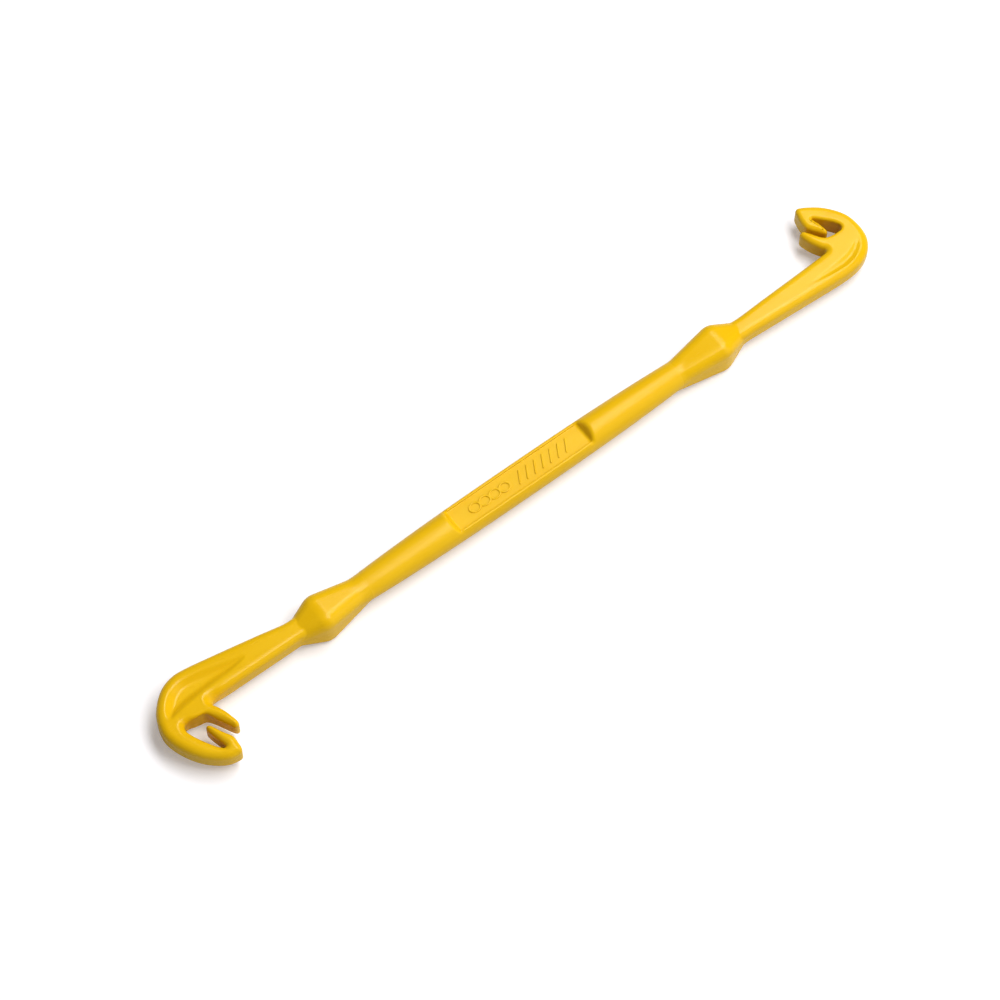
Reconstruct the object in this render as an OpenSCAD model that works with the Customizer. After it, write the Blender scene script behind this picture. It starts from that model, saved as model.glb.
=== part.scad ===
// Loop tyer: a one-piece moulded hand tool with a barbed hook and eye at each end.
// The moulding lies flat along X. +Z is up, and the origin is under its middle.
// Each node is one stretch of the moulding, and meets its neighbours face to face.

/* [Overall] */
// Length of the tool from bend to bend
tool_length = 142.8; // [141:0.2:146]
// Sideways reach of each hook from the grip's axis
hook_reach = 11.6; // [11:0.1:12]
// Distance of the grip's middle from the tool's middle, towards the small end
grip_shift = -0.8; // [-1.2:0.1:0]

/* [Grip] */
// Diameter of the barrel at its middle
barrel_d = 5.9; // [5.6:0.1:6.2]
// Diameter of each neck, where the barrel is thinnest
neck_d = 4.7; // [4.5:0.1:5.2]
// Distance from the grip's middle to each neck
neck_at = 31; // [29:0.5:33]
// How late the barrel narrows towards its necks: 2 is an even curve
barrel_taper = 2.6; // [2:0.1:3]
// Length of the flat panel sunk in the top of the barrel
panel_length = 26.6; // [20:0.2:30]
// Distance of the panel's middle from the grip's middle, towards the small end
panel_shift = -0.7; // [-2:0.1:2]
// Height of the panel's floor above the barrel's axis
panel_floor = 1.45; // [1.2:0.05:1.8]
// Height of the thin rail along each long edge of the panel
rail_height = 0.18; // [0.1:0.01:0.3]
// Distance between the two rails
rail_gap = 4.3; // [3.8:0.1:4.6]

/* [Grip marks] */
// Height of the raised marks on the panel's floor
mark_height = 0.14; // [0.08:0.01:0.2]
// Width of a raised line
mark_line = 0.32; // [0.25:0.01:0.5]
// Number of slanted ribs
rib_count = 7; // [3:1:8]
// Number of links in the chain of ovals
link_count = 4; // [2:1:5]

/* [Collars] */
// Distance across the flats of each square collar at its ridge
collar_across = 6.5; // [6.2:0.1:6.8]
// Corner radius of the square collars
collar_corner = 1.5; // [1:0.05:1.7]
// Distance from the grip's middle to each collar's ridge
ridge_at = 39.8; // [38:0.1:41]
// Length of the narrow land along each ridge
ridge_land = 0.5; // [0.3:0.1:0.8]
// Distance from the grip's middle to each collar's foot, where the shank starts
foot_at = 43.8; // [43:0.1:45]
// Width of each collar's foot
foot_across = 3.4; // [3:0.1:3.8]

/* [Large end] */
// Thickness of the large hook
large_thick = 4.2; // [3.8:0.1:4.6]
// Depth of the scoop in the top of the large hook
large_scoop = 0.9; // [0.4:0.1:1.2]

/* [Small end] */
// Thickness of the small hook
small_thick = 3.9; // [3.6:0.1:4.2]
// Depth of the scoop in the top of the small hook
small_scoop = 0.5; // [0.3:0.1:0.8]

/* [Hidden] */

yellow = [0.94, 0.76, 0.12];
axis_z = collar_across / 2;
half_length = tool_length / 2;
large_foot = foot_at - grip_shift;
small_foot = foot_at + grip_shift;
edge_r = 1.2;
puck_fn = 24;
reach = 40;

// Plan points of each end, as [distance from the tool's middle, sideways, radius].
// Sideways is positive towards the hook's mouth.
large_back = [
    [large_foot + 1.1, -0.7, 1.25], [61.6, -3.75, 1.4], [64, -3.85, 1.45], [66.5, -3.15, 1.45],
    [68.4, -1.5, 1.5], [69.6, 0.5, 1.5], [half_length - 1.45, 2.6, 1.45]
];
large_front = [[large_foot + 1.1, 0.4, 1.25], [63.2, 0.5, 1.25], [67.5, 1.3, 1.25]];
large_arm = [
    [half_length - 1.3, 1, 1.3], [half_length - 1.2, 2.6, 1.2], [69.75, 4.2, 1.38],
    [69.3, 5.25, 1.35], [68.4, 6.95, 1.35], [67.4, 8.35, 1.35], [66.3, 9.55, 1.25],
    [64.05, hook_reach - 0.65, 0.65]
];
large_nose = [[64.05, hook_reach - 0.65, 0.65], [63.75, 9, 0.82]];
large_barb_line = [[63.75, 9, 0.82], [64.6, 7, 0.66], [65.15, 5.45, 0.45]];
large_finger_line = [[63.1, 1.7, 1.1], [62.5, 3.9, 0.74], [61.9, 5.7, 0.68], [61.5, 7.15, 0.6]];
large_scoop_line = [[54.9, -1.1, 0.7], [61.5, -1.9, 1.7], [66.3, -1.4, 2.1]];
large_split = 3.3;
large_nose_split = 8.9;

small_back = [
    [small_foot + 1.1, -0.7, 1.2], [60.5, -1.65, 1.25], [63.5, -1.7, 1.3], [66.4, -1.35, 1.35],
    [68.6, -0.45, 1.4], [69.75, 1.3, 1.5], [half_length - 1.5, 3.2, 1.5]
];
small_front = [[small_foot + 1.1, 0.35, 1.2], [60.5, 1, 1.25], [64, 1.1, 1.3], [68.4, 2.3, 1.4]];
small_eye_wall = [[65.8, 3.15, 0.9], [69.6, 3.2, 0.9]];
small_arm = [
    [half_length - 1.2, 3.4, 1.2], [70, 5.35, 1.05], [69.2, 6.9, 1.15], [67.65, 8.5, 1.32],
    [66.35, 9.6, 1.22], [65.1, hook_reach - 0.75, 0.75]
];
small_nose = [[65.1, hook_reach - 0.75, 0.75], [64.75, 9.2, 0.85]];
small_barb_line = [[64.75, 9.2, 0.85], [64.85, 7.8, 0.92], [65.42, 6.5, 0.62], [65.8, 5.4, 0.45]];
small_finger_line = [[65.1, 2.9, 1.2], [64, 4.2, 0.88], [63.1, 5.8, 0.75], [62.65, 6.9, 0.6]];
small_scoop_line = [[60.5, -0.9, 0.5], [65.5, -0.9, 1.2], [68.6, 0.3, 1.0]];
small_split = 4.05;
small_nose_split = 8.9;

// Radius of the barrel at a distance x from the grip's middle
function barrel_r(x) =
    (barrel_d - (barrel_d - neck_d) * pow(abs(x) / neck_at, barrel_taper)) / 2;

// One round disc of a hook, with rounded rims
module puck(p, thick) {
    rim = min(edge_r, p[2] - 0.05);
    steps = 3;
    translate([p[0], p[1], axis_z])
    rotate_extrude($fn = puck_fn)
    polygon(concat(
        [[0, -thick / 2]],
        [for (i = [0 : steps]) let (a = -90 + 90 * i / steps)
            [p[2] - rim + rim * cos(a), -thick / 2 + rim + rim * sin(a)]],
        [for (i = [0 : steps]) let (a = 90 * i / steps)
            [p[2] - rim + rim * cos(a), thick / 2 - rim + rim * sin(a)]],
        [[0, thick / 2]]
    ));
}

// A bar that follows a line of discs
module bar(line, thick) {
    for (i = [0 : len(line) - 2])
        hull() {
            puck(line[i], thick);
            puck(line[i + 1], thick);
        }
}

// A flat plate with its outline round a set of discs
module plate(discs, thick) {
    hull() for (p = discs) puck(p, thick);
}

// A box from one corner to the other, with no limit up or down
module region(x0, x1, y0, y1) {
    translate([x0, y0, -reach]) cube([x1 - x0, y1 - y0, 2 * reach]);
}

// The pocket that a scoop cuts in the top of a hook
module scoop(line, thick, depth) {
    translate([0, 0, axis_z + thick / 2 - depth])
    linear_extrude(depth + 1)
    for (i = [0 : len(line) - 2])
        hull() {
            translate([line[i][0], line[i][1]]) circle(r = line[i][2], $fn = 32);
            translate([line[i + 1][0], line[i + 1][1]]) circle(r = line[i + 1][2], $fn = 32);
        }
}

// A thin slice of a square collar at a distance u from the tool's middle
module collar_slice(u, across, corner, slice) {
    translate([u, 0, axis_z])
    rotate([90, 0, 90])
    linear_extrude(slice)
    hull() for (sx = [-1, 1], sy = [-1, 1])
        translate([sx * (across / 2 - corner), sy * (across / 2 - corner)])
        circle(r = corner, $fn = 32);
}

// A square collar between the neck and the foot of a shank.
// The neck, the ridge and the foot are distances from the tool's middle.
module collar(neck, ridge, foot, thick) {
    sliver = 0.01;
    hull() {
        translate([neck, 0, axis_z]) rotate([0, 90, 0]) cylinder(d = neck_d, h = sliver, $fn = 32);
        collar_slice(ridge - ridge_land / 2, collar_across, collar_corner, ridge_land / 2);
    }
    hull() {
        collar_slice(ridge, collar_across, collar_corner, ridge_land / 2);
        intersection() {
            collar_slice(foot - sliver, thick, edge_r, sliver);
            region(neck, foot + 1, -foot_across / 2, foot_across / 2);
        }
    }
}

// The large end lies towards -X, turned half a turn about Z
module at_large_end() {
    color(yellow) rotate([0, 0, 180]) children();
}

// The small end lies towards +X
module at_small_end() {
    color(yellow) children();
}

// The large shank and bend in one, before they are split
module large_body() {
    difference() {
        union() {
            plate(concat(large_back, large_front), large_thick);
            plate([large_finger_line[0], large_front[1], large_front[2]], large_thick);
        }
        scoop(large_scoop_line, large_thick, large_scoop);
    }
}

// The small shank and bend in one, before they are split
module small_body() {
    difference() {
        union() {
            plate(concat(small_back, small_front), small_thick);
            plate(concat(small_eye_wall, [small_finger_line[0]]), small_thick);
        }
        scoop(small_scoop_line, small_thick, small_scoop);
    }
}

module grip_bar() {
    rings = 32;
    ring_step = 2 * neck_at / rings;
    color(yellow)
    translate([grip_shift, 0, axis_z])
    difference() {
        rotate([0, 90, 0])
        rotate_extrude($fn = 64)
        polygon(concat(
            [[0, -neck_at]],
            [for (i = [0 : rings]) let (x = -neck_at + i * ring_step) [barrel_r(x), x]],
            [[0, neck_at]]
        ));
        translate([panel_shift - panel_length / 2, -barrel_d / 2, panel_floor + rail_height])
        cube([panel_length, barrel_d, barrel_d]);
        translate([panel_shift - panel_length / 2, -rail_gap / 2, panel_floor])
        cube([panel_length, rail_gap, barrel_d]);
    }
}

module grip_marks() {
    rib_pitch = 1.55;
    rib_length = 2.6;
    rib_slant = 30;
    rib_start = -0.6;
    link_long = 2.3;
    link_wide = 1.9;
    link_pitch = 1.95;
    link_start = -9.4;
    color(yellow)
    translate([grip_shift, 0, axis_z + panel_floor]) {
        for (i = [0 : rib_count - 1])
            translate([rib_start + i * rib_pitch, 0, 0])
            rotate([0, 0, -rib_slant])
            translate([-mark_line / 2, -rib_length / 2, 0])
            cube([mark_line, rib_length, mark_height]);
        linear_extrude(mark_height)
        difference() {
            for (i = [0 : link_count - 1])
                translate([link_start + i * link_pitch, 0])
                scale([link_long / link_wide, 1]) circle(d = link_wide, $fn = 32);
            for (i = [0 : link_count - 1])
                translate([link_start + i * link_pitch, 0])
                scale([(link_long - 2 * mark_line) / (link_wide - 2 * mark_line), 1])
                circle(d = link_wide - 2 * mark_line, $fn = 32);
        }
    }
}

module large_collar() {
    at_large_end()
    collar(neck_at - grip_shift, ridge_at - grip_shift, large_foot, large_thick);
}

module large_shank() {
    at_large_end() intersection() {
        large_body();
        region(large_foot, 60, -reach, reach);
    }
}

module large_bend() {
    at_large_end() intersection() {
        union() {
            large_body();
            bar(large_finger_line, large_thick);
        }
        region(60, half_length + 1, -reach, large_split);
    }
}

module large_hook_arm() {
    at_large_end() union() {
        intersection() {
            bar(large_arm, large_thick);
            region(60, half_length + 1, large_split, reach);
        }
        intersection() {
            bar(large_nose, large_thick);
            region(60, 65, large_nose_split, reach);
        }
    }
}

module large_barb() {
    at_large_end() intersection() {
        bar(large_barb_line, large_thick);
        region(60, 67, 0, large_nose_split);
    }
}

module large_finger() {
    at_large_end() intersection() {
        bar(large_finger_line, large_thick);
        region(60, 67, large_split, reach);
    }
}

module small_collar() {
    at_small_end()
    collar(neck_at + grip_shift, ridge_at + grip_shift, small_foot, small_thick);
}

module small_shank() {
    at_small_end() intersection() {
        small_body();
        region(small_foot, 60, -reach, reach);
    }
}

module small_bend() {
    at_small_end() intersection() {
        union() {
            small_body();
            bar(small_finger_line, small_thick);
        }
        region(60, half_length + 1, -reach, small_split);
    }
}

module small_hook_arm() {
    at_small_end() union() {
        intersection() {
            bar(small_arm, small_thick);
            region(60, half_length + 1, small_split, reach);
        }
        intersection() {
            bar(small_nose, small_thick);
            region(60, 66, small_nose_split, reach);
        }
    }
}

module small_barb() {
    at_small_end() intersection() {
        bar(small_barb_line, small_thick);
        region(60, 67, 0, small_nose_split);
    }
}

module small_finger() {
    at_small_end() intersection() {
        bar(small_finger_line, small_thick);
        region(60, 67, small_split, reach);
    }
}

grip_bar();
grip_marks();
large_collar();
large_shank();
large_bend();
large_hook_arm();
large_barb();
large_finger();
small_collar();
small_shank();
small_bend();
small_hook_arm();
small_barb();
small_finger();
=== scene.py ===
import math

import bmesh
import bpy
import numpy as np
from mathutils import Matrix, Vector


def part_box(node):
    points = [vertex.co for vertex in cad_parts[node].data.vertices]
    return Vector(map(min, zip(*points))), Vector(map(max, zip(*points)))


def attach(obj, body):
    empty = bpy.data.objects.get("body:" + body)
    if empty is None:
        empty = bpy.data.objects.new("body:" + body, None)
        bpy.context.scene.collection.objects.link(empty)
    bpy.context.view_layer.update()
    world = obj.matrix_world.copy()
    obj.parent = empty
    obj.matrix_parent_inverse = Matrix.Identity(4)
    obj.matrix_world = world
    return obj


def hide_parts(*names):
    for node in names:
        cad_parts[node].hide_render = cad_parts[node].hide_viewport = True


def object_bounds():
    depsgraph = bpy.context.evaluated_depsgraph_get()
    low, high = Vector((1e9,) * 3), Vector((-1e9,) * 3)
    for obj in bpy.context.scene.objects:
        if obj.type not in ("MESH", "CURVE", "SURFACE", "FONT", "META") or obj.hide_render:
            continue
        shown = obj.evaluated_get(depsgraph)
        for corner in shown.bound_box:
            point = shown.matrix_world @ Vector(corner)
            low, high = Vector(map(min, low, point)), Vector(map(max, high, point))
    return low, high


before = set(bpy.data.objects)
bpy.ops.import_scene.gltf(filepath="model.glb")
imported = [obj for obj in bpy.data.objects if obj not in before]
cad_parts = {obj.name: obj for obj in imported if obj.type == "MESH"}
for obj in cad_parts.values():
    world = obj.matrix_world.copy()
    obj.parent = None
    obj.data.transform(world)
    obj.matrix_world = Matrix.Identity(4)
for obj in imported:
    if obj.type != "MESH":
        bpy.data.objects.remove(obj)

cad_low, cad_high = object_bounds()

# ---------------------------------------------------------------------------------------------
# The camera looks down on the tool from its front left, as over a work table.
# A long lens keeps both hooks nearly the same size.
look_at = Vector((-0.00583, -0.00079, 0.00325))
camera_azimuth, camera_elevation = math.radians(-37.58), math.radians(62.5)
camera_distance = 0.5512
towards_camera = Vector((
    math.sin(camera_azimuth) * math.cos(camera_elevation),
    -math.cos(camera_azimuth) * math.cos(camera_elevation),
    math.sin(camera_elevation),
))
camera_data = bpy.data.cameras.new("camera")
camera_data.sensor_width = 36
camera_data.lens = 126
camera_data.clip_start, camera_data.clip_end = 0.01, 20
camera = bpy.data.objects.new("camera", camera_data)
camera.location = look_at + towards_camera * camera_distance
camera.rotation_euler = towards_camera.to_track_quat("Z", "Y").to_euler()
bpy.context.collection.objects.link(camera)
bpy.context.scene.camera = camera

# ---------------------------------------------------------------------------------------------
# The table is a plain white sheet, and the tool lies on it on its two square collars.
# A white room gives a little light all round. A large soft lamp hangs high on the right, and a
# weaker one stands lower, in front.
table_size = 3.0
table_mesh = bpy.data.meshes.new("table")
table_mesh.from_pydata(
    [(x * table_size, y * table_size, 0) for x, y in ((-1, -1), (1, -1), (1, 1), (-1, 1))],
    [], [(0, 1, 2, 3)],
)
table = bpy.data.objects.new("table", table_mesh)
bpy.context.collection.objects.link(table)

white_sheet = bpy.data.materials.new("white_sheet")
white_sheet.use_nodes = True
sheet_shader = white_sheet.node_tree.nodes["Principled BSDF"]
# The sheet's own colour is a little blue and its glow, set below, a little warm, so where it lies
# in shade it shows a painted warm tint, standing in for light thrown back from the yellow plastic.
sheet_shader.inputs["Base Color"].default_value = (0.74, 0.745, 0.775, 1)
sheet_shader.inputs["Roughness"].default_value = 0.9
sheet_shader.inputs["Specular IOR Level"].default_value = 0.1
sheet_shader.inputs["Emission Color"].default_value = (1, 0.94, 0.93, 1)
table_mesh.materials.append(white_sheet)

# The sheet is exposed until it is pure white, but it throws only a little light on the tool.
sheet_glow = 0.3
seen_by = white_sheet.node_tree.nodes.new("ShaderNodeLightPath")
overexposed = white_sheet.node_tree.nodes.new("ShaderNodeMath")
overexposed.operation = "MULTIPLY"
overexposed.inputs[1].default_value = sheet_glow
white_sheet.node_tree.links.new(seen_by.outputs["Is Camera Ray"], overexposed.inputs[0])
white_sheet.node_tree.links.new(
    overexposed.outputs["Value"], sheet_shader.inputs["Emission Strength"])

room = bpy.data.worlds.new("room")
room.use_nodes = True
room.node_tree.nodes["Background"].inputs["Color"].default_value = (1, 1, 1, 1)
room.node_tree.nodes["Background"].inputs["Strength"].default_value = 0.2
bpy.context.scene.world = room
bpy.context.scene.view_settings.view_transform = "Standard"
bpy.context.scene.view_settings.gamma = 0.9


def soft_box(name, place, width, length, power):
    """A rectangular studio lamp that faces the middle of the tool, with its length along Y."""
    lamp_data = bpy.data.lights.new(name, "AREA")
    lamp_data.shape = "RECTANGLE"
    lamp_data.size = length
    lamp_data.size_y = width
    lamp_data.energy = power
    lamp = bpy.data.objects.new(name, lamp_data)
    lamp.location = place
    lamp.rotation_euler = Vector(place).to_track_quat("Z", "Y").to_euler()
    bpy.context.collection.objects.link(lamp)


soft_box("key_lamp", (0.26, -0.07, 0.70), 0.30, 0.78, 6.6)
soft_box("front_lamp", (0.42, -0.75, 0.36), 0.60, 0.60, 1.5)

# ---------------------------------------------------------------------------------------------
# The plastic is a glossy opaque yellow, coloured right through.
# The hooks come from a polished cavity, and the grip from a finely spark-eroded one.


def eroded_finish():
    """A group that puts out the grain, flow marks, hair scratches and flash of the skin."""
    group = bpy.data.node_groups.new("moulded_finish", "ShaderNodeTree")
    group.interface.new_socket("Grain Size", in_out="INPUT", socket_type="NodeSocketFloat")
    group.interface.new_socket("Grain Depth", in_out="INPUT", socket_type="NodeSocketFloat")
    group.interface.new_socket("Base", in_out="INPUT", socket_type="NodeSocketColor")
    group.interface.new_socket("Flow", in_out="INPUT", socket_type="NodeSocketColor")
    group.interface.new_socket("Gloss", in_out="INPUT", socket_type="NodeSocketFloat")
    group.interface.new_socket("Parting Height", in_out="INPUT", socket_type="NodeSocketFloat")
    group.interface.new_socket("Color", in_out="OUTPUT", socket_type="NodeSocketColor")
    group.interface.new_socket("Roughness", in_out="OUTPUT", socket_type="NodeSocketFloat")
    group.interface.new_socket("Height", in_out="OUTPUT", socket_type="NodeSocketFloat")
    nodes, links = group.nodes, group.links

    def worked_out(operation, first, second):
        """A maths node, whose inputs are either sockets or plain numbers."""
        step = nodes.new("ShaderNodeMath")
        step.operation = operation
        for socket, value in zip(step.inputs, (first, second)):
            if isinstance(value, (int, float)):
                socket.default_value = value
            else:
                links.new(value, socket)
        return step.outputs["Value"]

    given = nodes.new("NodeGroupInput")
    made = nodes.new("NodeGroupOutput")
    where = nodes.new("ShaderNodeTexCoord")

    grain = nodes.new("ShaderNodeTexNoise")
    grain.inputs["Detail"].default_value = 3
    links.new(where.outputs["Object"], grain.inputs["Vector"])
    links.new(given.outputs["Grain Size"], grain.inputs["Scale"])

    along = nodes.new("ShaderNodeMapping")
    along.inputs["Scale"].default_value = (60, 260, 260)
    flow = nodes.new("ShaderNodeTexNoise")
    flow.inputs["Scale"].default_value = 1
    flow.inputs["Detail"].default_value = 3
    links.new(where.outputs["Object"], along.inputs["Vector"])
    links.new(along.outputs["Vector"], flow.inputs["Vector"])
    flow_range = nodes.new("ShaderNodeMapRange")
    flow_range.inputs["From Min"].default_value = 0.35
    flow_range.inputs["From Max"].default_value = 0.7
    links.new(flow.outputs["Fac"], flow_range.inputs["Value"])

    tint = nodes.new("ShaderNodeMix")
    tint.data_type = "RGBA"
    links.new(flow_range.outputs["Result"], tint.inputs["Factor"])
    links.new(given.outputs["Base"], tint.inputs["A"])
    links.new(given.outputs["Flow"], tint.inputs["B"])
    links.new(tint.outputs["Result"], made.inputs["Color"])

    # Handling leaves sparse hair scratches, most of them along the tool.
    hair = nodes.new("ShaderNodeMapping")
    hair.inputs["Rotation"].default_value = (0, 0, 0.35)
    hair.inputs["Scale"].default_value = (350, 5200, 5200)
    scratch = nodes.new("ShaderNodeTexNoise")
    scratch.inputs["Scale"].default_value = 1
    scratch.inputs["Detail"].default_value = 2
    links.new(where.outputs["Object"], hair.inputs["Vector"])
    links.new(hair.outputs["Vector"], scratch.inputs["Vector"])
    scratched = nodes.new("ShaderNodeMapRange")
    scratched.inputs["From Min"].default_value = 0.64
    scratched.inputs["From Max"].default_value = 0.72
    links.new(scratch.outputs["Fac"], scratched.inputs["Value"])

    # The two halves of the mould meet half way up, and leave a hairline of flash there.
    place = nodes.new("ShaderNodeSeparateXYZ")
    links.new(where.outputs["Object"], place.inputs["Vector"])
    off_line = worked_out("SUBTRACT", place.outputs["Z"], given.outputs["Parting Height"])
    flash_outer, flash_inner = 0.00009, 0.00002
    flash = nodes.new("ShaderNodeMapRange")
    flash.interpolation_type = "SMOOTHSTEP"
    flash.inputs["From Min"].default_value = flash_outer
    flash.inputs["From Max"].default_value = flash_inner
    links.new(worked_out("ABSOLUTE", off_line, 0), flash.inputs["Value"])

    grain_dullness, scratch_dullness = 0.08, 0.10
    uneven = worked_out("MULTIPLY", grain.outputs["Fac"], grain_dullness)
    marked = worked_out("MULTIPLY", scratched.outputs["Result"], scratch_dullness)
    dull = worked_out("ADD", given.outputs["Gloss"], worked_out("ADD", uneven, marked))
    links.new(dull, made.inputs["Roughness"])

    scratch_height, flash_height = -0.10, 0.5
    grained = worked_out("MULTIPLY", grain.outputs["Fac"], given.outputs["Grain Depth"])
    dented = worked_out("MULTIPLY", scratched.outputs["Result"], scratch_height)
    raised = worked_out("MULTIPLY", flash.outputs["Result"], flash_height)
    links.new(
        worked_out("ADD", grained, worked_out("ADD", dented, raised)), made.inputs["Height"])
    return group


moulded_finish = eroded_finish()
parting_height = (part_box("large_collar")[0][2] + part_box("large_collar")[1][2]) / 2


def yellow_plastic(name, roughness, grain_size, grain_depth):
    """The moulding's plastic, with the finish that one part of the cavity gives it."""
    material = bpy.data.materials.new(name)
    material.use_nodes = True
    nodes, links = material.node_tree.nodes, material.node_tree.links
    shader = nodes["Principled BSDF"]
    shader.inputs["IOR"].default_value = 1.49
    shader.inputs["Specular IOR Level"].default_value = 0.22
    finish = nodes.new("ShaderNodeGroup")
    finish.node_tree = moulded_finish
    finish.inputs["Grain Size"].default_value = grain_size
    finish.inputs["Grain Depth"].default_value = grain_depth
    finish.inputs["Base"].default_value = (0.78, 0.474, 0.003, 1)
    finish.inputs["Flow"].default_value = (0.81, 0.510, 0.010, 1)
    finish.inputs["Gloss"].default_value = roughness
    finish.inputs["Parting Height"].default_value = parting_height
    bump = nodes.new("ShaderNodeBump")
    bump.inputs["Strength"].default_value = 0.4
    bump.inputs["Distance"].default_value = 0.0001
    links.new(finish.outputs["Color"], shader.inputs["Base Color"])
    links.new(finish.outputs["Roughness"], shader.inputs["Roughness"])
    links.new(finish.outputs["Height"], bump.inputs["Height"])
    links.new(bump.outputs["Normal"], shader.inputs["Normal"])
    return material


polished_plastic = yellow_plastic("polished_plastic", 0.18, 9000, 0.15)
satin_plastic = yellow_plastic("satin_plastic", 0.27, 7000, 0.6)

# ---------------------------------------------------------------------------------------------
# The stem is the grip's round barrel with a square collar at each end of it.
# Each collar is two square pyramids, base to base: the long one grows out of the round neck, and
# the short one dives into the shank. The stem is moulded in one with the hooks.
mm = 0.001
grip_low, grip_high = (Vector(corner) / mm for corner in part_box("grip_bar"))
collar_low, collar_high = (Vector(corner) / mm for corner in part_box("large_collar"))
axis_z = (collar_low.z + collar_high.z) / 2
grip_middle = (grip_low.x + grip_high.x) / 2
neck_at = (grip_high.x - grip_low.x) / 2
barrel_r = (grip_high.y - grip_low.y) / 2
neck_r = 2.35
barrel_taper = 2.6
ridge_at = 39.8
ridge_half = axis_z
ridge_blend = 0.5
large_slopes = (0.158, 0.34)
small_slopes = (0.135, 0.36)
top_corner, under_corner = 1.95, 1.0
neck_fillet = 0.12


def soft_min(a, b, blend):
    """The lower of two fields, with a fillet of about the size of blend where they cross."""
    near = np.clip(0.5 + 0.5 * (b - a) / blend, 0, 1)
    return b + (a - b) * near - blend * near * (1 - near)


def soft_max(a, b, blend):
    """The higher of two fields, with a rounding of about the size of blend where they cross."""
    return -soft_min(-a, -b, blend)


def smooth_step(value):
    """An S-shaped ramp from 0 to 1."""
    value = np.clip(value, 0, 1)
    return value * value * (3 - 2 * value)


def stem(x, y, z):
    """The signed distance to the stem, in millimetres."""
    along = np.abs(x - grip_middle)
    up = z - axis_z
    narrowing = np.minimum(along / neck_at, 1) ** barrel_taper
    barrel = np.hypot(y, up) - (barrel_r - (barrel_r - neck_r) * narrowing)
    barrel = np.maximum(barrel, along - ridge_at)
    inboard_slope, outboard_slope = (
        np.where(x < grip_middle, large, small) for large, small in zip(large_slopes, small_slopes)
    )
    half = ridge_blend / 4 + soft_min(
        ridge_half - inboard_slope * (ridge_at - along),
        ridge_half - outboard_slope * (along - ridge_at),
        ridge_blend,
    )
    corner = np.minimum(np.where(up > 0, top_corner, under_corner), half - 0.1)
    side = np.abs(y) - (half - corner)
    rise = np.abs(up) - (half - corner)
    collar = (
        np.hypot(np.maximum(side, 0), np.maximum(rise, 0))
        + np.minimum(np.maximum(side, rise), 0)
        - corner
    )
    return soft_min(barrel, collar, neck_fillet)


def mesh_of(field, low, high, step):
    """The surface where a field is zero, as points and four-sided faces. A step for each axis."""
    axes = [np.arange(low[i], high[i] + step[i], step[i]) for i in range(3)]
    grid = np.meshgrid(*axes, indexing="ij")
    value = field(*grid)
    inside = value < 0
    counts = [n - 1 for n in value.shape]
    total = np.zeros(counts + [3])
    crossings = np.zeros(counts)
    corners = [(i, j, k) for i in (0, 1) for j in (0, 1) for k in (0, 1)]

    def part(array, corner):
        return array[tuple(slice(c, c + n) for c, n in zip(corner, counts))]

    for corner in corners:
        for axis in range(3):
            if corner[axis]:
                continue
            other = tuple(c + (i == axis) for i, c in enumerate(corner))
            a, b = part(value, corner), part(value, other)
            crossed = part(inside, corner) != part(inside, other)
            share = np.where(crossed, a / np.where(crossed, a - b, 1), 0)
            crossings += crossed
            for i in range(3):
                total[..., i] += crossed * (corner[i] + (share if i == axis else 0))
    used = crossings > 0
    number = np.full(counts, -1)
    number[used] = np.arange(used.sum())
    cell = np.argwhere(used)
    points = np.array(low) + np.array(step) * (cell + total[used] / crossings[used][:, None])

    faces = []
    for axis in range(3):
        first = tuple(slice(0, -1) if i == axis else slice(1, -1) for i in range(3))
        second = tuple(slice(1, None) if i == axis else slice(1, -1) for i in range(3))
        start, end = inside[first], inside[second]
        edge = np.argwhere(start != end)
        edge += [0 if i == axis else 1 for i in range(3)]
        leaving = start[start != end]
        u, w = [i for i in range(3) if i != axis]
        ring = []
        for du, dw in ((-1, -1), (0, -1), (0, 0), (-1, 0)):
            at = edge.copy()
            at[:, u] += du
            at[:, w] += dw
            ring.append(number[tuple(at.T)])
        ring = np.stack(ring, 1)
        flip = leaving if axis != 1 else ~leaving
        ring[~flip] = ring[~flip][:, ::-1]
        faces.append(ring)
    return points, np.concatenate(faces)


def settle(field, points, steps=3):
    """Moves points onto the surface where the field is zero."""
    small = 0.02
    for _ in range(steps):
        here = field(*points.T)
        slope = np.stack([
            (field(*(points + shift).T) - field(*(points - shift).T)) / (2 * small)
            for shift in np.eye(3) * small
        ], 1)
        slope_squared = np.maximum((slope ** 2).sum(1), 0.05)
        move = here[:, None] * slope / slope_squared[:, None]
        length = np.linalg.norm(move, axis=1, keepdims=True)
        points = points - move * np.minimum(1, 0.15 / np.maximum(length, 1e-9))
    return points


def skin_of(field, low, high, step):
    """An even skin over a field: it is eased along the surface, and settled on it again."""
    points, faces = mesh_of(field, low, high, step)
    points = settle(field, points)
    ends = np.concatenate([faces[:, [i, (i + 1) % 4]] for i in range(4)])
    for _ in range(4):
        middle = np.zeros_like(points)
        for axis in range(3):
            middle[:, axis] = np.bincount(ends[:, 0], points[ends[:, 1], axis], len(points))
        count = np.bincount(ends[:, 0], minlength=len(points))
        points = 0.5 * points + 0.5 * middle / count[:, None]
        points = settle(field, points, 1)
    points = settle(field, points, 2)
    mesh = bpy.data.meshes.new("skin")
    mesh.from_pydata((points * mm).tolist(), [], faces.tolist())
    mesh.update()
    normals = np.empty(len(mesh.vertices) * 3, np.float32)
    mesh.vertex_normals.foreach_get("vector", normals)
    kept = mesh.attributes.new("skin_normal", "FLOAT_VECTOR", "POINT")
    kept.data.foreach_set("vector", normals)
    skin = bmesh.new()
    skin.from_mesh(mesh)
    bpy.data.meshes.remove(mesh)
    return skin


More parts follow.
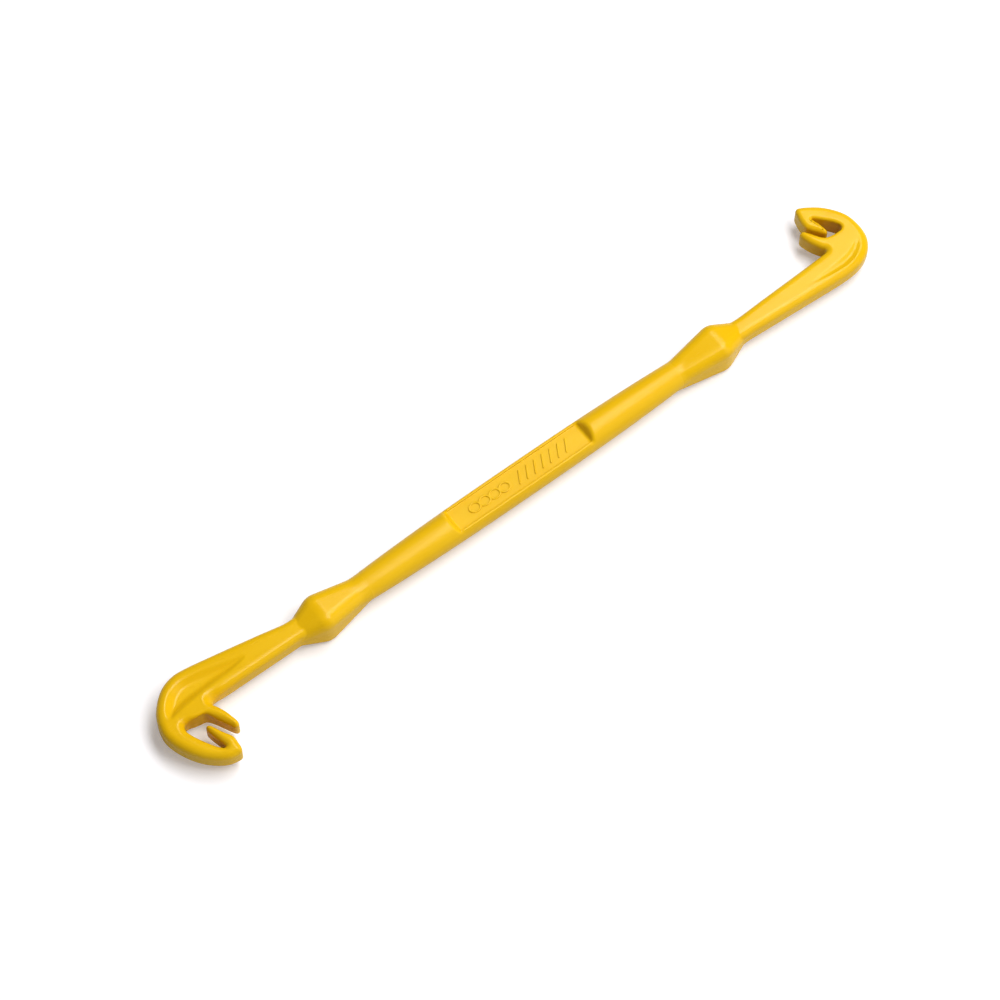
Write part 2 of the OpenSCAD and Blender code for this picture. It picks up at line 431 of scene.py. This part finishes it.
def score(skin, point, normal):
    """Cuts a line round the skin along a plane, and leaves both sides in place."""
    bmesh.ops.bisect_plane(
        skin, geom=skin.verts[:] + skin.edges[:] + skin.faces[:], dist=1e-7,
        plane_co=Vector(point) * mm, plane_no=normal,
    )


def stretch(skin, name, holds, material):
    """One stretch of the moulding: the part of the skin that it holds, closed at its ends."""
    piece = skin.copy()
    outside = [f for f in piece.faces if not holds(f.calc_center_median() / mm)]
    bmesh.ops.delete(piece, geom=outside, context="FACES")
    bmesh.ops.holes_fill(piece, edges=[e for e in piece.edges if e.is_boundary], sides=0)
    piece.faces.index_update()
    ends = {f.index for f in piece.faces if len(f.verts) > 8}
    mesh = bpy.data.meshes.new(name)
    piece.to_mesh(mesh)
    piece.free()
    mesh.polygons.foreach_set("use_smooth", [True] * len(mesh.polygons))
    kept = mesh.attributes["skin_normal"].data
    normals = [Vector((0, 0, 1))] * len(mesh.loops)
    for face in mesh.polygons:
        for loop in face.loop_indices:
            if face.index in ends:
                normals[loop] = face.normal.copy()
            else:
                normals[loop] = Vector(kept[mesh.loops[loop].vertex_index].vector).normalized()
    mesh.normals_split_custom_set(normals)
    mesh.attributes.remove(mesh.attributes["skin_normal"])
    mesh.materials.append(material)
    shown = bpy.data.objects.new(name, mesh)
    bpy.context.collection.objects.link(shown)
    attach(shown, "root")
    return shown


# ---------------------------------------------------------------------------------------------
# The grip is the barrel between the necks, with a flat panel sunk in its top.
# The panel's floor runs nearly out to the barrel's sides, where a thin rail borders it.
marks_low, marks_high = (Vector(corner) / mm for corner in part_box("grip_marks"))
panel_floor = marks_low.z
panel_middle = grip_middle - 0.7
panel_half = 13.0
end_draft = 0.6
rail_height = 0.24
rail_at, rail_slope = 1.98, 0.09
pocket_corner = 0.3
side_rounding, extra_end_rounding = 0.08, 0.4


def grip(x, y, z):
    """The barrel with its panel cut out."""
    floor = panel_floor + rail_height * smooth_step((np.abs(y) - rail_at) / rail_slope)
    end = np.abs(x - panel_middle) - panel_half - end_draft * (z - panel_floor)
    pocket = soft_max(end / math.hypot(1, end_draft), floor - z, pocket_corner)
    near_end = smooth_step((np.abs(x - panel_middle) - panel_half + 0.5) / 0.4)
    rounding = side_rounding + extra_end_rounding * near_end
    return soft_max(stem(x, y, z), -pocket, rounding)


grip_skin = skin_of(
    grip,
    (grip_middle - neck_at - 1, -barrel_r - 0.5, axis_z - barrel_r - 0.5),
    (grip_middle + neck_at + 1, barrel_r + 0.5, axis_z + barrel_r + 0.5),
    (0.14, 0.08, 0.08),
)
for side in (-1, 1):
    score(grip_skin, (grip_middle + side * neck_at, 0, 0), (1, 0, 0))
grip_bar = stretch(
    grip_skin, "grip", lambda p: abs(p.x - grip_middle) < neck_at, satin_plastic)
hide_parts("grip_bar")
grip_skin.free()

# ---------------------------------------------------------------------------------------------
# The marks stand up from the panel's floor, where the cavity is engraved: a chain of four linked
# ovals, and then seven slanted ribs that the thumb can feel. Their edges are soft.
mark_line, mark_softness = 0.32, 0.12
link_count, link_pitch = 4, 1.95
link_size = (2.3, 1.9)
rib_count, rib_pitch, rib_length, rib_slant = 7, 1.55, 2.6, math.radians(30)
link_start, rib_start = grip_middle - 9.4, grip_middle - 0.6


def marks(x, y, z):
    """The chain and the ribs, as rounded lines that start just under the floor."""
    plan = np.full(x.shape, 9.0)
    for i in range(link_count):
        u = (x - link_start - i * link_pitch) * link_size[1] / link_size[0]
        plan = np.minimum(plan, np.abs(np.hypot(u, y) - (link_size[1] - mark_line) / 2))
    for i in range(rib_count):
        along_x = x - rib_start - i * rib_pitch
        across = along_x * math.cos(rib_slant) - y * math.sin(rib_slant)
        along = along_x * math.sin(rib_slant) + y * math.cos(rib_slant)
        past = np.maximum(np.abs(along) - (rib_length - mark_line) / 2, 0)
        plan = np.minimum(plan, np.hypot(across, past))
    middle = (marks_low.z + marks_high.z) / 2
    rise = np.abs(z - middle) - (marks_high.z - marks_low.z) / 2
    return soft_max(plan - mark_line / 2, rise, mark_softness)


mark_step = 0.05
marks_skin = skin_of(
    marks,
    marks_low - Vector((0.3, 0.3, 0.15)),
    marks_high + Vector((0.3, 0.3, 0.15)),
    (mark_step, mark_step, mark_step / 2),
)
raised_marks = stretch(marks_skin, "grip_ribs_and_links", lambda p: True, satin_plastic)
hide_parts("grip_marks")
marks_skin.free()

# ---------------------------------------------------------------------------------------------
# Each end is a flat hook: a shank that widens to a bend, an arm that comes back past it, a barb
# folded in from the arm's nose, and a springy finger that leaves a fine line slot beside it.
# All of an end is one outline with rounded rims, and a scoop is hollowed in its top.
half_length = cad_high.x / mm
hook_reach = cad_high.y / mm
large_thick = (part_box("large_bend")[1][2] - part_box("large_bend")[0][2]) / mm
small_thick = (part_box("small_bend")[1][2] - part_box("small_bend")[0][2]) / mm

# Each outline point is (distance from the tool's middle, sideways, radius of the rim there).
large_outline = [
    (42.5, -1.55, 1.2), (46, -1.98, 1.2), (50, -2.82, 1.25), (55, -3.78, 1.25), (59, -4.52, 1.25),
    (61.6, -5.0, 1.3), (63.78, -5.25, 1.3), (65.23, -5.12, 1.3), (66.63, -4.68, 1.3),
    (67.83, -3.97, 1.3), (68.97, -2.98, 1.3), (70.2, -1.5, 1.3), (71.0, 0.2, 1.3),
    (half_length, 2.1, 1.3), (71.22, 3.8, 1.3), (70.55, 5.76, 1.3), (69.65, 7.5, 1.3),
    (68.48, 9.08, 1.3), (67.03, 10.45, 1.3), (65.6, 11.3, 1.3), (64.3, hook_reach, 1.2),
    (63.45, 11.55, 1.0), (63.05, 11.0, 0.9), (62.95, 9.9, 0.9), (62.92, 9.0, 0.9),
    (63.1, 8.35, 1.0), (63.75, 7.1, 1.1), (64.35, 5.75, 1.1), (64.72, 5.08, 1.1),
    (65.2, 4.85, 1.1), (65.55, 5.3, 1.1), (65.45, 6.3, 1.1), (65.22, 7.3, 1.1),
    (64.98, 8.3, 1.0), (64.85, 9.15, 1.1), (65.1, 9.35, 1.2), (65.85, 8.5, 1.25),
    (66.65, 7.1, 1.3), (67.4, 5.7, 1.2), (67.9, 4.5, 1.2), (68.08, 3.6, 1.3),
    (67.85, 2.82, 1.3), (67.1, 2.62, 0.95), (66.2, 2.75, 0.6), (65.2, 2.92, 0.45),
    (64.5, 3.05, 0.5), (64.0, 3.45, 0.7), (63.45, 4.5, 1.0), (62.72, 6.0, 1.1),
    (62.12, 7.2, 1.1), (61.78, 7.68, 1.1), (61.35, 7.8, 1.1), (61.02, 7.5, 1.0),
    (60.98, 6.9, 0.9), (61.2, 5.9, 0.8), (61.5, 4.7, 0.85), (61.95, 3.3, 1.2),
    (62.2, 2.45, 1.9), (62.05, 1.95, 2.0), (61.2, 1.76, 1.8), (59.5, 1.72, 1.35),
    (55, 1.72, 1.25), (50, 1.76, 1.25), (46, 1.75, 1.2), (42.5, 1.6, 1.2),
]
small_outline = [
    (41, -1.6, 1.15), (45, -1.95, 1.2), (48, -2.14, 1.2), (52, -2.36, 1.2), (57, -2.64, 1.2),
    (61, -2.88, 1.25), (63.5, -2.98, 1.3), (65.42, -2.9, 1.3), (66.92, -2.64, 1.3),
    (68.38, -2.1, 1.3), (69.65, -1.25, 1.3), (70.75, 0.15, 1.3), (71.28, 1.65, 1.3),
    (half_length, 3.4, 1.2), (71.12, 5.5, 1.1), (70.22, 7.45, 1.1), (68.65, 9.45, 1.1),
    (66.97, 10.75, 1.0), (65.85, 11.38, 0.9), (65.15, hook_reach, 0.8), (64.6, 11.3, 0.8),
    (64.25, 10.35, 0.8), (64.02, 9.35, 0.8), (63.9, 8.45, 0.8), (63.98, 7.8, 0.8),
    (64.35, 7.05, 0.8), (64.95, 6.18, 0.8), (65.5, 5.4, 0.85), (65.92, 4.98, 0.9),
    (66.35, 5.2, 0.9), (66.4, 6.0, 0.85), (66.2, 7.0, 0.7), (65.9, 7.9, 0.55),
    (65.72, 8.55, 0.5), (65.98, 8.5, 0.5), (66.85, 7.55, 0.5), (67.9, 6.35, 0.5),
    (68.55, 5.3, 0.5), (68.7, 4.6, 0.5), (68.35, 4.15, 0.5), (67.5, 4.02, 0.5),
    (66.2, 4.12, 0.5), (65.3, 4.42, 0.55), (64.8, 4.95, 0.7), (64.15, 6.08, 0.8),
    (63.5, 7.15, 0.85), (63.1, 7.62, 0.9), (62.65, 7.68, 0.9), (62.25, 7.2, 0.9),
    (62.38, 6.15, 0.9), (62.72, 5.05, 0.9), (63.4, 3.65, 0.9), (63.9, 2.8, 1.0),
    (63.6, 2.42, 1.2), (62, 2.32, 1.25), (57, 2.12, 1.25), (50, 1.84, 1.2), (45, 1.6, 1.2),
    (41, 1.4, 1.15),
]
large_scoop_outline = [
    (53.95, -0.6, 0), (54.05, -1.35, 0), (56.8, -2.3, 0), (60.8, -3.35, 0), (63.8, -3.85, 0),
    (65.8, -3.6, 0), (67.5, -2.7, 0), (68.9, -1.2, 0), (69.5, 0.3, 0), (69.0, 1.2, 0),
    (67.3, 0.9, 0), (65.3, 0.6, 0), (63.0, 0.4, 0), (60, 0.25, 0), (56.5, 0.05, 0),
]
small_scoop_outline = [
    (57.5, -1.0, 0), (60.5, -1.75, 0), (63.5, -2.1, 0), (65.8, -1.95, 0), (67.5, -1.25, 0),
    (68.9, -0.1, 0), (69.3, 0.9, 0), (68.5, 1.0, 0), (66.8, 0.3, 0), (64, -0.2, 0), (60.8, -0.4, 0),
]


def rounded_line(points, steps=5):
    """A closed curve that passes smoothly through the points."""
    points = np.array(points, float)
    a, b, c, d = (np.roll(points, shift, axis=0) for shift in (1, 0, -1, -2))
    line = []
    for i in range(steps):
        t = i / steps
        line.append(
            b + 0.5 * t * (c - a)
            + t * t * (a - 2.5 * b + 2 * c - 0.5 * d)
            + t ** 3 * (1.5 * b - 1.5 * c + 0.5 * d - 0.5 * a)
        )
    return np.stack(line, 1).reshape(-1, points.shape[1])


class PlanMap:
    """The signed distance to an outline, and the rim radius, kept on a fine plan grid."""

    def __init__(self, points, step=0.06, margin=1.2, softness=2):
        line = rounded_line(points)
        after = np.roll(line, -1, axis=0)
        self.step = step
        self.low = line[:, :2].min(0) - margin
        size = np.ceil((line[:, :2].max(0) + margin - self.low) / step).astype(int)
        u = self.low[0] + step * np.arange(size[0])
        v = self.low[1] + step * np.arange(size[1])
        u, v = np.meshgrid(u, v, indexing="ij")
        nearest = np.full(u.shape, 1e9)
        inside = np.zeros(u.shape, bool)
        pull, rim = np.zeros(u.shape), np.zeros(u.shape)
        for a, b in zip(line, after):
            du, dv = b[0] - a[0], b[1] - a[1]
            share = np.clip(((u - a[0]) * du + (v - a[1]) * dv) / (du * du + dv * dv), 0, 1)
            away = (u - a[0] - share * du) ** 2 + (v - a[1] - share * dv) ** 2
            nearest = np.minimum(nearest, away)
            weight = math.hypot(du, dv) / (away + 0.01) ** 2.5
            pull += weight
            rim += weight * a[2]
            inside ^= ((a[1] > v) != (b[1] > v)) & (u < a[0] + (v - a[1]) * du / (dv or 1e-9))
        self.away = np.sqrt(nearest) * np.where(inside, -1, 1)
        for _ in range(softness):
            for axis in (0, 1):
                ahead, behind = np.roll(self.away, 1, axis), np.roll(self.away, -1, axis)
                self.away = (ahead + 2 * self.away + behind) / 4
        self.rim = rim / pull

    def read(self, u, v):
        """The distance and the rim radius at plan points, read between the grid's own."""
        i = np.clip((u - self.low[0]) / self.step, 0, self.away.shape[0] - 1.001)
        j = np.clip((v - self.low[1]) / self.step, 0, self.away.shape[1] - 1.001)
        i0, j0 = i.astype(int), j.astype(int)
        fi, fj = i - i0, j - j0
        read = []
        for kept in (self.away, self.rim):
            low = kept[i0, j0] * (1 - fj) + kept[i0, j0 + 1] * fj
            high = kept[i0 + 1, j0] * (1 - fj) + kept[i0 + 1, j0 + 1] * fj
            read.append(low * (1 - fi) + high * fi)
        return read


def hook_end(outline, scoop_outline, thick, scoop_depth, scoop_wall, scoop_softness):
    """The field of one hook. It takes the distance from the tool's middle, and how far sideways."""
    plan = PlanMap(outline)
    hollow = PlanMap(scoop_outline, softness=scoop_softness)

    def hook(u, v, z):
        away, rim = plan.read(u, v)
        inward = -hollow.read(u, v)[0]
        top = thick / 2 - scoop_depth * smooth_step(inward / scoop_wall)
        rise = np.maximum(z - axis_z - top, axis_z - z - thick / 2)
        rim = np.minimum(rim, thick / 2 - 0.05)
        a, b = away + rim, rise + rim
        return np.hypot(np.maximum(a, 0), np.maximum(b, 0)) + np.minimum(np.maximum(a, b), 0) - rim

    return hook


collar_overlap, shank_overlap, collar_fillet = 2, 1.5, 0.06


def whole_end(hook, turn, foot):
    """The field of one end of the tool: its collar and its hook. turn is -1 for the large end."""

    def field(x, y, z):
        u, v = turn * x, turn * y
        collar = np.maximum(stem(x, y, z), u - foot - collar_overlap)
        shank = np.maximum(hook(u, v, z), foot - shank_overlap - u)
        return soft_min(collar, shank, collar_fillet)

    return field


# Each scoop has a depth, the width of its sloping wall, and how much its edge is softened.
large_scoop = (0.85, 1.7, 20)
small_scoop = (0.32, 1.1, 40)
ends = {
    "large": {
        "turn": -1, "foot": -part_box("large_collar")[0][0] / mm, "split": 3.3, "nose": 8.9,
        "hook": hook_end(large_outline, large_scoop_outline, large_thick, *large_scoop),
        "slot": ((64.4, 4.2), (62.45, 7.8)),
    },
    "small": {
        "turn": 1, "foot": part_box("small_collar")[1][0] / mm, "split": 4.05, "nose": 8.9,
        "hook": hook_end(small_outline, small_scoop_outline, small_thick, *small_scoop),
        "slot": ((65.15, 5.0), (63.6, 7.6)),
    },
}
shank_end = 60
barb_back, barb_lean = 67.1, 0.22
hook_step = (0.15, 0.15, 0.15)
for size, end in ends.items():
    turn, foot, split, nose = end["turn"], end["foot"], end["split"], end["nose"]
    neck = neck_at + turn * grip_middle
    low = [neck - 1, -6.0, axis_z - ridge_half - 0.4]
    high = [half_length + 0.6, hook_reach + 0.6, axis_z + ridge_half + 0.4]
    if turn < 0:
        low[0], high[0] = -high[0], -low[0]
        low[1], high[1] = -high[1], -low[1]
    skin = skin_of(whole_end(end["hook"], turn, foot), low, high, hook_step)
    for at in (neck, foot, shank_end):
        score(skin, (turn * at, 0, 0), (1, 0, 0))
    for at in (split, nose):
        score(skin, (0, turn * at, 0), (0, 1, 0))
    (slot_u, slot_v), (mouth_u, mouth_v) = end["slot"]

    def in_finger(u, v):
        across = (mouth_v - slot_v) * (u - slot_u) - (mouth_u - slot_u) * (v - slot_v)
        return v > split and across < 0

    def in_barb(u, v):
        return v > split and not in_finger(u, v) and v < nose and u < barb_back - barb_lean * v

    places = {
        "collar": lambda u, v: neck < u < foot,
        "shank": lambda u, v: foot < u < shank_end,
        "bend": lambda u, v: u > shank_end and v < split,
        "finger": lambda u, v: u > shank_end and in_finger(u, v),
        "barb": lambda u, v: u > shank_end and in_barb(u, v),
        "hook_arm": lambda u, v: u > shank_end and v > split and not in_finger(u, v)
        and not in_barb(u, v),
    }
    for place, holds in places.items():
        piece = stretch(
            skin, f"{size}_end_{place}", lambda p: holds(turn * p.x, turn * p.y), polished_plastic)
        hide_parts(f"{size}_{place}")
    skin.free()
